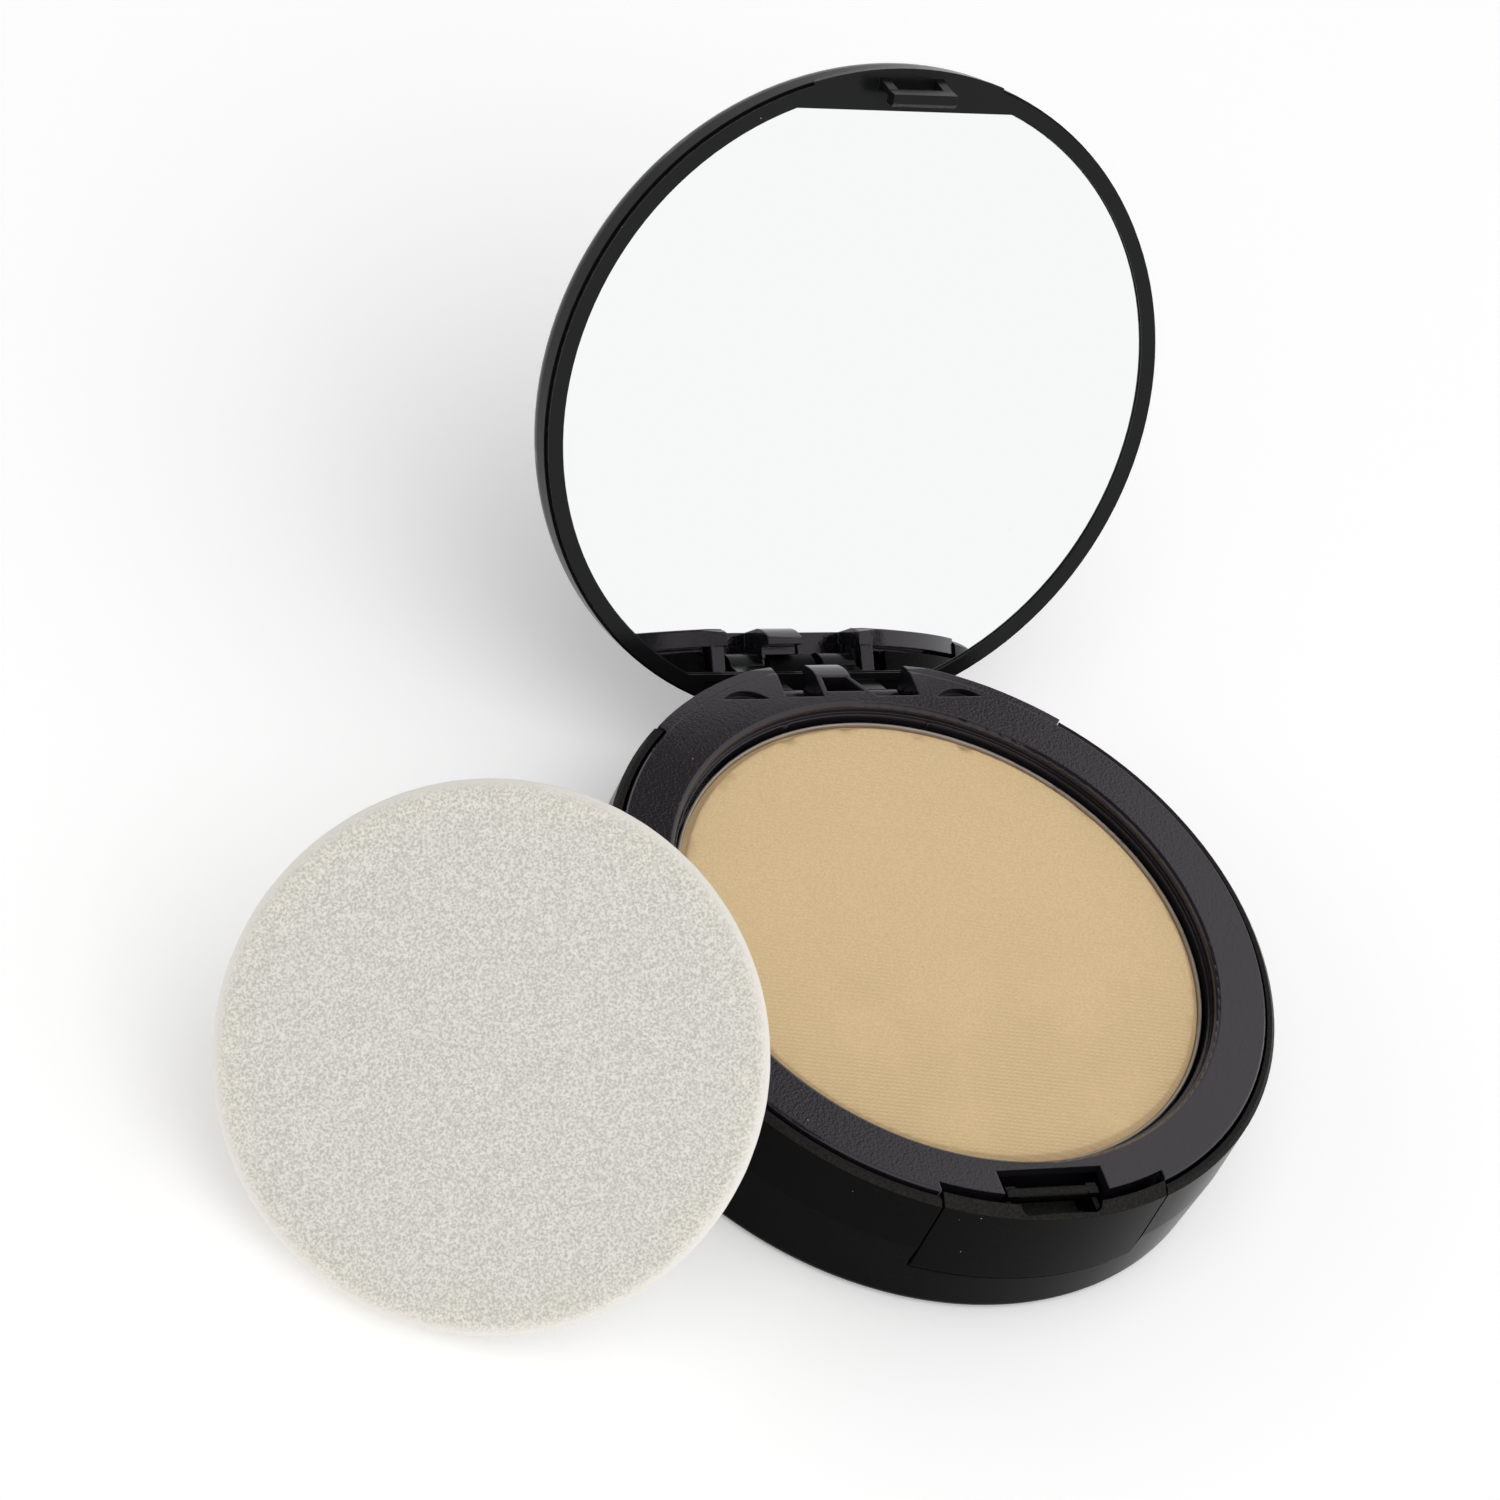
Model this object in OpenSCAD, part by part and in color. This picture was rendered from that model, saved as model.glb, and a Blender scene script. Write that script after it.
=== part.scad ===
// Round powder compact with a lifting powder tray, a mirror lid and a foam sponge.
// Millimetres. Origin: centre of the case's underside. +Z up, the button faces -Y, the hinge is at +Y.

/* [Case] */
// Outer radius of the case at its rim
case_r = 37.35; // [37.2:0.05:37.6]
// How much smaller the case is at the bottom
case_taper = 0.55; // [0.3:0.05:0.8]
// Thickness of the case's wall
case_wall = 1.0; // [0.8:0.05:1.1]
// Height of the tray's top above the table
tray_top = 17; // [16.8:0.1:17.4]
// How far the case's rim stands below the tray's top
rim_drop = 0.5; // [0.3:0.1:0.7]

/* [Powder] */
// Radius of the opening over the powder
opening_r = 30.3; // [30.1:0.1:30.5]
// Outer radius of the pan
pan_r = 29.5; // [29.3:0.1:29.6]
// Depth of the pan's rim below the tray's top
pan_drop = 1.94; // [1.7:0.1:2.2]
// Height of the pan
pan_h = 3.85; // [3.6:0.05:3.9]

/* [Lid] */
// Outer radius of the lid
lid_r = 36.4; // [36.3:0.05:36.5]
// Radius of the mirror
mirror_r = 34.43; // [34.3:0.05:34.5]
// Distance of the mirror's catch-side flat from its centre
mirror_flat = 31.9; // [31.5:0.1:32.1]
// Distance of the mirror's hinge-side flat from its centre
mirror_hinge_flat = 31; // [30.8:0.1:31.1]
// Angle that the lid stands open by
open_angle = 119; // [110:1:119]

/* [Hinge] */
// Distance of the hinge pin behind the centre
hinge_y = 33.5; // [33.4:0.05:33.6]
// Height of the hinge pin
hinge_z = 12; // [11.9:0.05:12.1]
// Radius of the hinge pin
pin_r = 0.75; // [0.7:0.05:0.9]

/* [Button] */
// Half of the button's width
button_half = 12.95; // [12.8:0.05:13.1]
// Height of the button's lower edge
button_foot = 6.4; // [6.2:0.1:6.6]

/* [Sponge] */
// Radius of the sponge
sponge_r = 27.4; // [26.5:0.1:27.8]
// Thickness of the sponge
sponge_t = 7; // [6:0.5:7]
// Place of the sponge's middle, across
sponge_x = -59.6; // [-62:0.1:-59]
// Place of the sponge's middle, front to back
sponge_y = -17.7; // [-20:0.1:-16]
// Lean of the sponge's face from level
sponge_lean = 44; // [42:1:50]
// Bearing of the sponge's face, counted from +X
sponge_bearing = -128.4; // [-135:0.1:-125]

/* [Hidden] */
$fn = 96;
big = 90;
nick = 0.01;
black = [0.07, 0.07, 0.08];

// case
foot_round = 1.2;
floor_t = 1.2;
foot_r = case_r - case_taper;
rim_z = tray_top - rim_drop;
wall_in = case_r - case_wall;
taper_z = 9;
label_r = 12.5;
label_y = -17;
label_recess = 0.25;
label_t = 0.12;
label_gap = 0.4;
window_gap = 0.25;
sill_gap = 0.5;
rim_bevel = 0.45;
front_reach = -28;
back_reach = 28;
back_cut = 11.5;
back_cut_z = 3.3;
back_low_z = 14.3;
back_low_half = 41;

// insert
well_r = 28.2;
well_wall = 1;
well_top = 9.5;
insert_r = 35.6;
flange_t = 1;
insert_z = floor_t + 0.02;
ledge_r = 36;
front_free = 14;

// hinge stack, from the middle outwards
mid_knuckle = 2.8;
slot_in = 3.1;
slot_out = 8.1;
arm_in = 3.7;
arm_out = 7.7;
tray_knuckle_in = 8.4;
tray_knuckle_out = 9.9;
boss_in = 10.2;
boss_out = 12;
pin_half = 11.5;
knuckle_r = 2.3;
barrel_r = 5.1;
barrel_half = 20;
seat_fit = 0.02;
run_fit = 0.05;

// tray
tray_r = 36;
plate_t = 1.2;
plate_z = tray_top - plate_t;
lip_round = 0.5;
edge_bevel = 0.2;
cup_out = 31.2;
cup_in = 29.9;
cup_floor_z = 10.9;
cup_floor_t = 1;
skirt_z = 12.5;
skirt_r = 35.1;
finger_r = 34.85;
finger_half = 13.05;
notch_half = 6.1;
notch_y = -31.4;
slot_front_y = 31.5;
wall_low_z = 13.6;
tongue_side = 2.9;
tongue_left = 3.5;
tongue_tip = 0.6;
under_y = 33.8;
rear_flange_r = 37.1;
rear_flange_z = 14.9;
rear_flange_top = 16.7;
rear_flange_half = 40.9;

// pan and powder
pan_wall = 0.35;
pan_rim_z = tray_top - pan_drop;
pan_floor_z = pan_rim_z - pan_h;
powder_r = pan_r - pan_wall - 0.02;
powder_top = 0.25;
powder_chamfer = 0.7;
glue_r = 20;

// button
bevel_in = 36.05;
bevel_drop = 0.8;
button_shell_in = 36.15;
catch_slot_half = 4.75;
catch_slot_y = -36.75;
bar_half = 5.3;
bar_front = -34.2;
bar_back = -32.9;
bar_top = tray_top - 0.7;
bar_low = tray_top - 1.7;
catch_slot_corner = 1;
slot_floor_z = 13.2;
press_y = -34;
foot_half = button_half - 0.6;
rib_half = 1.5;
rail_z = 6.3;

// spring: a strip bowed to an arc, from its end lugs to the button's back
spring_t = 0.3;
spring_half = 8;
spring_sag = 2;
spring_arc_r = (spring_half * spring_half + spring_sag * spring_sag) / (2 * spring_sag);
spring_z = 8;
spring_h = 3;
lug_y = -31.9;

// lid, measured closed
face_z = tray_top + 0.3;
mirror_z = face_z + 0.36;
mirror_t = 1.4;
pad_t = 0.3;
frame_flange_r = 36.15;
frame_flange_t = 0.6;
frame_lip_r = 36.6;
frame_body_r = 35.1;
frame_back_z = mirror_z + mirror_t + pad_t + 0.04;
frame_back_t = 0.8;
shell_in = 35.2;
shell_edge_z = face_z + frame_flange_t + 0.05;
shell_round = 3.3;
shell_side_z = 19.75;
shell_top_z = shell_side_z + shell_round;
dome_rise = 0.6;
shell_t = 1.2;
arm_back = 1.9;
arm_front = 1.7;
arm_knuckle = 2.4;
hinge_relief_half = 13;
hinge_relief_t = 0.35;
hook_half = 3.8;
hook_rib = 1.1;
hook_out = 35.6;
hook_in = 34.35;
hook_back = 33.35;
hook_lip_z = 15.05;
hook_low_z = 13.6;
lip_half = 11.3;

// sponge, which stands a hair clear of the table so that the case alone carries the weight
sponge_edge = 1.5;
sponge_clear = 0.3;
sponge_z = sponge_clear + sponge_r * sin(sponge_lean) + sponge_t / 2 * cos(sponge_lean)
    - sponge_edge * (sin(sponge_lean) + cos(sponge_lean) - 1);

module ring(outer, inner, low, high) {
    translate([0, 0, low]) difference() {
        cylinder(r = outer, h = high - low);
        translate([0, 0, -nick]) cylinder(r = inner, h = high - low + 2 * nick);
    }
}

// block between two corners
module block(low, high) {
    translate(low) cube(high - low);
}

module both_sides() {
    children();
    mirror([1, 0, 0]) children();
}

// outline in Y and Z carried along X, from one x to another
module profile_along_x(from, to) {
    translate([from, 0, 0]) rotate([90, 0, 90]) linear_extrude(to - from) children();
}

// cylinder along X about the hinge axis, from one x to another
module on_hinge(radius, from, to) {
    translate([from, hinge_y, hinge_z]) rotate([0, 90, 0]) cylinder(r = radius, h = to - from);
}

// wedge about +Y, seen from above, that spans half an angle each way
module rear_wedge(half, low, high) {
    reach = big * tan(half);
    translate([0, 0, low]) linear_extrude(high - low)
        polygon([[0, 0], [reach, big], [-reach, big]]);
}

module in_lid() {
    translate([0, hinge_y, hinge_z]) rotate([-open_angle, 0, 0])
        translate([0, -hinge_y, -hinge_z]) children();
}

module base_shell() {
    color(black) difference() {
        rotate_extrude() union() {
            polygon([[0, 0], [foot_r - foot_round, 0], [foot_r, foot_round], [case_r, taper_z],
                [case_r, rim_z - rim_bevel], [case_r - rim_bevel, rim_z], [wall_in, rim_z],
                [wall_in, taper_z],
                [foot_r - case_wall, floor_t], [0, floor_t]]);
            intersection() {
                translate([foot_r - foot_round, foot_round]) circle(r = foot_round);
                translate([foot_r - foot_round, 0]) square(foot_round);
            }
        }
        translate([0, label_y, -nick]) cylinder(r = label_r, h = label_recess + nick);
        block([-button_half - window_gap, -big, button_foot - sill_gap],
            [button_half + window_gap, front_reach, big]);
        block([-back_cut, back_reach, back_cut_z], [back_cut, big, big]);
        rear_wedge(back_low_half, back_low_z, big);
    }
}

module base_insert() {
    color([0.1, 0.1, 0.11]) difference() {
        union() {
            ring(well_r + well_wall, well_r, insert_z, well_top);
            ring(insert_r, well_r, insert_z, insert_z + flange_t);
            difference() {
                ring(ledge_r, well_r + nick, well_top - flange_t, well_top);
                block([-front_free, -big, 0], [front_free, 0, big]);
                block([-front_free, 0, 0], [front_free, big, big]);
            }
            insert_hinge();
            insert_front();
        }
        on_hinge(pin_r + seat_fit, -boss_out - nick, boss_out + nick);
    }
}

// knuckles: a middle post, and a boss at each end of the pin inside the case's wall
module insert_hinge() {
    post_front = hinge_y - 1.9;
    boss_front = hinge_y - knuckle_r;
    web_front = 24;
    on_hinge(knuckle_r, -mid_knuckle, mid_knuckle);
    block([-mid_knuckle, post_front, insert_z], [mid_knuckle, hinge_y + 0.4, hinge_z]);
    block([-mid_knuckle, well_r + 0.5, insert_z], [mid_knuckle, post_front + 0.1, well_top]);
    intersection() {
        union() {
            cylinder(r = foot_r - case_wall - 0.05, h = taper_z + 0.1);
            translate([0, 0, taper_z]) cylinder(r = wall_in - 0.15, h = big);
        }
        both_sides() union() {
            block([boss_in, boss_front, insert_z], [boss_out, hinge_y + knuckle_r, hinge_z]);
            on_hinge(knuckle_r, boss_in, boss_out);
            block([boss_in, web_front, insert_z], [boss_out, boss_front + 0.1, well_top]);
        }
    }
}

// rails under the button's foot, and the lugs that hold the spring's ends
module insert_front() {
    rail_in = 10;
    rail_out = 12.4;
    lug_in = spring_half - 1.4;
    lug_out = spring_half + 0.6;
    lug_t = 1.1;
    both_sides() union() {
        block([rail_in, -33.4, insert_z], [rail_out, -25.9, rail_z]);
        block([lug_in, lug_y, insert_z], [lug_out, -27.5, well_top]);
        block([lug_in, lug_y, insert_z], [lug_out, lug_y + lug_t, spring_z + spring_h]);
    }
}

module base_label() {
    color("gainsboro") translate([0, label_y, label_recess - label_t])
        cylinder(r = label_r - label_gap, h = label_t);
}

module release_button() {
    color(black) difference() {
        union() {
            intersection() {
                rotate_extrude() polygon([[button_shell_in, button_foot], [case_r, button_foot],
                    [case_r, tray_top - bevel_drop], [bevel_in, tray_top],
                    [bevel_in, tray_top - 0.9], [button_shell_in, tray_top - 1]]);
                block([-button_half, -big, 0], [button_half, front_reach, big]);
            }
            button_inside();
        }
        catch_slot();
    }
}

// slot with round front corners, open to the back up to the latch bar
module catch_slot() {
    round_x = catch_slot_half - catch_slot_corner;
    round_y = catch_slot_y + catch_slot_corner;
    translate([0, 0, slot_floor_z]) linear_extrude(big) union() {
        translate([-catch_slot_half, round_y]) square([2 * catch_slot_half, bar_front - round_y]);
        translate([-round_x, catch_slot_y]) square([2 * round_x, 2 * catch_slot_corner]);
        for (side = [-1, 1]) translate([side * round_x, round_y]) circle(r = catch_slot_corner);
    }
}

// floor of the catch slot, the latch bar on its two posts, the foot plate, and the rib the spring bears on
module button_inside() {
    intersection() {
        cylinder(r = button_shell_in + 0.3, h = big);
        union() {
            block([-bar_half, -big, slot_floor_z - 1], [bar_half, bar_back, slot_floor_z]);
            block([-foot_half, -big, button_foot], [foot_half, press_y + 0.4, button_foot + 1]);
            block([-rib_half, -big, button_foot], [rib_half, press_y, slot_floor_z - 0.5]);
            both_sides() block([catch_slot_half, -big, slot_floor_z - 1],
                [bar_half, bar_back, tray_top - 1.6]);
        }
    }
    both_sides() block([hook_half + 0.3, bar_front, slot_floor_z - 1],
        [bar_half, bar_back, bar_top - 0.1]);
    latch_bar();
}

// bar across the slot, with a round top that the hook slides over as the lid shuts
module latch_bar() {
    round_r = (bar_back - bar_front) / 2;
    round_z = bar_top - round_r;
    profile_along_x(-bar_half, bar_half) union() {
        translate([bar_front, bar_low]) square([2 * round_r, round_z - bar_low]);
        intersection() {
            translate([bar_front + round_r, round_z]) circle(r = round_r);
            translate([bar_front, round_z]) square([2 * round_r, round_r]);
        }
    }
}

module button_spring() {
    color("silver") intersection() {
        translate([0, press_y + spring_t / 2 + spring_arc_r, 0]) ring(spring_arc_r + spring_t / 2,
            spring_arc_r - spring_t / 2, spring_z, spring_z + spring_h);
        block([-spring_half, -big, 0], [spring_half, lug_y - 0.02, big]);
    }
}

module hinge_pin() {
    color("silver") on_hinge(pin_r, -pin_half, pin_half);
}

module tray() {
    color([0.09, 0.09, 0.1]) difference() {
        union() {
            tray_plate();
            ring(cup_out, cup_in, cup_floor_z - cup_floor_t, plate_z + nick);
            translate([0, 0, cup_floor_z - cup_floor_t]) cylinder(r = cup_out, h = cup_floor_t);
            ring(skirt_r, skirt_r - 1, skirt_z, plate_z + nick);
            intersection() {
                ring(finger_r, finger_r - 1, skirt_z, plate_z + nick);
                block([-finger_half - 1, -big, 0], [finger_half + 1, front_reach, big]);
            }
            intersection() {
                ring(rear_flange_r, skirt_r - 1, rear_flange_z, rear_flange_top);
                rear_wedge(rear_flange_half, 0, big);
            }
            tray_knuckles();
        }
        difference() {
            block([-finger_half, -big, 0], [finger_half, front_reach, big]);
            cylinder(r = finger_r, h = big);
        }
        block([-notch_half, -big, 0], [notch_half, notch_y, big]);
        tray_slots();
        difference() {
            block([-barrel_half, hinge_y, hinge_z], [barrel_half, big, big]);
            on_hinge(barrel_r, -barrel_half - 1, barrel_half + 1);
        }
        on_hinge(pin_r + run_fit, -boss_out, boss_out);
        on_hinge(knuckle_r + 0.3, -slot_in, slot_in);
        both_sides() half_moon();
    }
}

// flat ring with a rounded lip round the opening and a bevelled outer edge
module tray_plate() {
    rotate_extrude() union() {
        polygon([[opening_r, plate_z], [tray_r, plate_z], [tray_r, tray_top - edge_bevel],
            [tray_r - edge_bevel, tray_top], [opening_r + lip_round, tray_top],
            [opening_r, tray_top - lip_round]]);
        intersection() {
            translate([opening_r + lip_round, tray_top - lip_round]) circle(r = lip_round);
            translate([opening_r, tray_top - lip_round]) square(lip_round);
        }
    }
}

module tray_knuckles() {
    both_sides() union() {
        on_hinge(knuckle_r, tray_knuckle_in, tray_knuckle_out);
        block([tray_knuckle_in, hinge_y - knuckle_r, hinge_z],
            [tray_knuckle_out, hinge_y + knuckle_r, plate_z + nick]);
        block([tray_knuckle_in, 28.5, hinge_z], [tray_knuckle_out, hinge_y - 1, plate_z + nick]);
    }
    block([-tray_knuckle_out, slot_front_y - 1, wall_low_z],
        [tray_knuckle_out, slot_front_y, plate_z + nick]);
    block([-tongue_left, slot_front_y - nick, wall_low_z],
        [tongue_side, hinge_y + 1.7, plate_z + nick]);
}

// slots for the lid's arms, with a tongue between them that narrows on one side,
// and below them room for the case's knuckles, the case's wall and its bosses
module tray_slots() {
    block([-slot_out, slot_front_y, 0], [-tongue_left, big, big]);
    translate([0, 0, -nick]) linear_extrude(big)
        polygon([[tongue_side, slot_front_y], [slot_out, slot_front_y], [slot_out, big],
            [tongue_tip, big], [tongue_tip, 34.1]]);
    translate([0, 0, wall_low_z]) linear_extrude(big)
        polygon([[-2.9, 32.2], [1.6, 32.2], [0, 34.2], [-2.9, 34.2]]);
    both_sides() union() {
        block([tray_knuckle_out + 0.05, 29.8, 0], [boss_out + 0.3, big, hinge_z + knuckle_r + 0.3]);
        block([tray_knuckle_out, under_y, 0], [big, big, rear_flange_z]);
    }
}

// shallow half-round recess with its flat side to the front
module half_moon() {
    moon_r = 4;
    moon_rise = 1.17;
    moon_x = 12.9;
    moon_flat_y = 31.25;
    moon_depth = 0.9;
    intersection() {
        translate([moon_x, moon_flat_y + moon_rise - moon_r, tray_top - moon_depth])
            cylinder(r = moon_r, h = big);
        block([0, moon_flat_y, 0], [big, big, big]);
    }
}

module pan() {
    color("silver") difference() {
        translate([0, 0, pan_floor_z]) cylinder(r = pan_r, h = pan_h);
        translate([0, 0, pan_floor_z + pan_wall]) cylinder(r = pan_r - pan_wall, h = pan_h);
    }
}

module pan_adhesive() {
    color("lightyellow") translate([0, 0, cup_floor_z])
        cylinder(r = glue_r, h = pan_floor_z - cup_floor_z);
}

module powder_cake() {
    low = pan_floor_z + pan_wall;
    top = pan_rim_z + powder_top;
    color([0.85, 0.68, 0.5]) rotate_extrude()
        polygon([[0, low], [powder_r, low], [powder_r, top - powder_chamfer],
            [powder_r - powder_chamfer, top], [0, top]]);
}

module lid_shell() {
    color(black) in_lid() difference() {
        rotate_extrude() union() {
            polygon([[0, shell_edge_z], [lid_r, shell_edge_z], [lid_r, shell_side_z],
                [lid_r - shell_round, shell_top_z], [0, shell_top_z + dome_rise]]);
            intersection() {
                translate([lid_r - shell_round, shell_side_z]) circle(r = shell_round);
                translate([lid_r - shell_round, shell_side_z]) square(shell_round);
            }
        }
        translate([0, 0, shell_edge_z - nick])
            cylinder(r = shell_in, h = shell_side_z - shell_edge_z + shell_t);
        translate([0, 0, shell_edge_z])
            cylinder(r = shell_in - 2, h = shell_top_z - shell_edge_z - shell_t);
    }
}

module lid_frame() {
    color(black) in_lid() difference() {
        union() {
            translate([0, 0, face_z]) cylinder(r = frame_flange_r, h = frame_flange_t);
            intersection() {
                translate([0, 0, face_z]) cylinder(r = frame_lip_r, h = frame_flange_t);
                block([-lip_half, -big, 0], [lip_half, 0, big]);
            }
            translate([0, 0, face_z])
                cylinder(r = frame_body_r, h = frame_back_z + frame_back_t - face_z);
            catch_hook();
            hinge_arms();
        }
        mirror_outline(mirror_r + 0.05, face_z - nick, frame_back_z, 0.05);
        on_hinge(pin_r + run_fit, -boss_out, boss_out);
        both_sides() block([arm_out + 0.1, mirror_hinge_flat + 0.9, face_z - nick],
            [hinge_relief_half, big, face_z + hinge_relief_t]);
    }
}

// disc with a flat on the catch side and one on the hinge side
module mirror_outline(radius, low, high, grow) {
    intersection() {
        translate([0, 0, low]) cylinder(r = radius, h = high - low);
        block([-big, -mirror_flat - grow, 0], [big, mirror_hinge_flat + grow, big]);
    }
}

// hook that hangs from the frame: two ribs, and a lip between them that catches under the button's bar
module catch_hook() {
    ramp = 0.4;
    rib_front = -hook_in - 0.6;
    toe_front = -hook_in - 0.4;
    both_sides() profile_along_x(hook_half - hook_rib, hook_half)
        polygon([[-hook_out, face_z + nick], [rib_front, hook_lip_z], [toe_front, hook_low_z],
            [-hook_in, hook_low_z], [-hook_in, face_z + nick]]);
    profile_along_x(-hook_half, hook_half)
        polygon([[toe_front, hook_low_z], [-hook_back - ramp, hook_low_z],
            [-hook_back, hook_low_z + ramp], [-hook_back, hook_lip_z], [rib_front, hook_lip_z]]);
}

module hinge_arms() {
    both_sides() union() {
        on_hinge(arm_knuckle, arm_in, arm_out);
        block([arm_in, hinge_y - arm_front, hinge_z], [arm_out, hinge_y + arm_back, face_z + nick]);
    }
}

module mirror_glass() {
    color("white") in_lid() mirror_outline(mirror_r, mirror_z, mirror_z + mirror_t, 0);
}

module mirror_adhesive() {
    color("lightgrey") in_lid()
        mirror_outline(mirror_r - 2, mirror_z + mirror_t, mirror_z + mirror_t + pad_t, -2);
}

module sponge() {
    half = sponge_t / 2;
    inner = sponge_r - sponge_edge;
    color("ivory") translate([sponge_x, sponge_y, sponge_z])
        rotate([0, sponge_lean, sponge_bearing]) rotate_extrude() union() {
            translate([0, -half]) square([inner, sponge_t]);
            translate([0, -half + sponge_edge]) square([sponge_r, sponge_t - 2 * sponge_edge]);
            translate([inner, half - sponge_edge]) circle(r = sponge_edge);
            translate([inner, sponge_edge - half]) circle(r = sponge_edge);
        }
}

base_shell();
base_insert();
base_label();
release_button();
button_spring();
hinge_pin();
tray();
pan();
pan_adhesive();
powder_cake();
lid_shell();
lid_frame();
mirror_glass();  // mirror
mirror_adhesive();
sponge();
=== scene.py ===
"""Powder compact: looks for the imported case, tray, pan, powder, lid, mirror and foam sponge.

Everything is in metres in the frame's own axes: +Z up, the button faces -Y, the hinge is at +Y.
"""

import math

import bpy
import numpy as np
from bpy.props import FloatProperty, FloatVectorProperty, PointerProperty
from mathutils import Matrix, Vector


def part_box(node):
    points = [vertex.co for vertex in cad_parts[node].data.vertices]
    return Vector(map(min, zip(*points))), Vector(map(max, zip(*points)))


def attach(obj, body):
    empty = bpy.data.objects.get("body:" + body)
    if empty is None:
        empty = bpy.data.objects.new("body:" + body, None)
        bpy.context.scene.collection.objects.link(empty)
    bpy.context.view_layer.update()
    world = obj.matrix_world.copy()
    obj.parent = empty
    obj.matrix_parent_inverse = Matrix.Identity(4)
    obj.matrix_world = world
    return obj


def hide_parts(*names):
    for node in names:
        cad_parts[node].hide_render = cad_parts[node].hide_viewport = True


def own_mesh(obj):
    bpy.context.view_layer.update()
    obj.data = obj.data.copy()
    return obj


bl_info = {
    "name": "Powder Compact",
    "version": (1, 0, 0),
    "blender": (4, 5, 0),
    "location": "View3D > Sidebar > Compact",
    "description": "Builds the looks of a round powder compact round its packed frame",
    "category": "Object",
}

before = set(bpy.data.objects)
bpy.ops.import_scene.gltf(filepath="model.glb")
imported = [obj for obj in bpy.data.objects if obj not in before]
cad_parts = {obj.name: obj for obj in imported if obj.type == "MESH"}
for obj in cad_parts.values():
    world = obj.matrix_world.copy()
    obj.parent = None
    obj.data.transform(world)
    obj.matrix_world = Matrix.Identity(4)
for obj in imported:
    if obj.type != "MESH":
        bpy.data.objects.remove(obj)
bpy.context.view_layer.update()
MM = 0.001


# ---------------------------------------------------------------- shader sums


class Value:
    """Wraps a node's output socket, so that sums on it are written as plain expressions."""

    def __init__(self, recipe, socket):
        self.recipe = recipe
        self.socket = socket

    def maths(self, operation, *values):
        return self.recipe.node("ShaderNodeMath", {"operation": operation}, dict(enumerate(values)))

    def __add__(self, other):
        return self.maths("ADD", self, other)

    def __radd__(self, other):
        return self.maths("ADD", other, self)

    def __sub__(self, other):
        return self.maths("SUBTRACT", self, other)

    def __rsub__(self, other):
        return self.maths("SUBTRACT", other, self)

    def __mul__(self, other):
        return self.maths("MULTIPLY", self, other)

    def __rmul__(self, other):
        return self.maths("MULTIPLY", other, self)

    def above(self, other):
        return self.maths("GREATER_THAN", self, other)

    def at_most(self, other):
        return self.maths("MINIMUM", self, other)

    def sine(self):
        return self.maths("SINE", self)

    def smooth(self, low, high):
        """Rises smoothly from 0 at low to 1 at high."""
        settings = {"interpolation_type": "SMOOTHSTEP"}
        return self.recipe.node(
            "ShaderNodeMapRange", settings, {"Value": self, "From Min": low, "From Max": high}
        )


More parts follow.
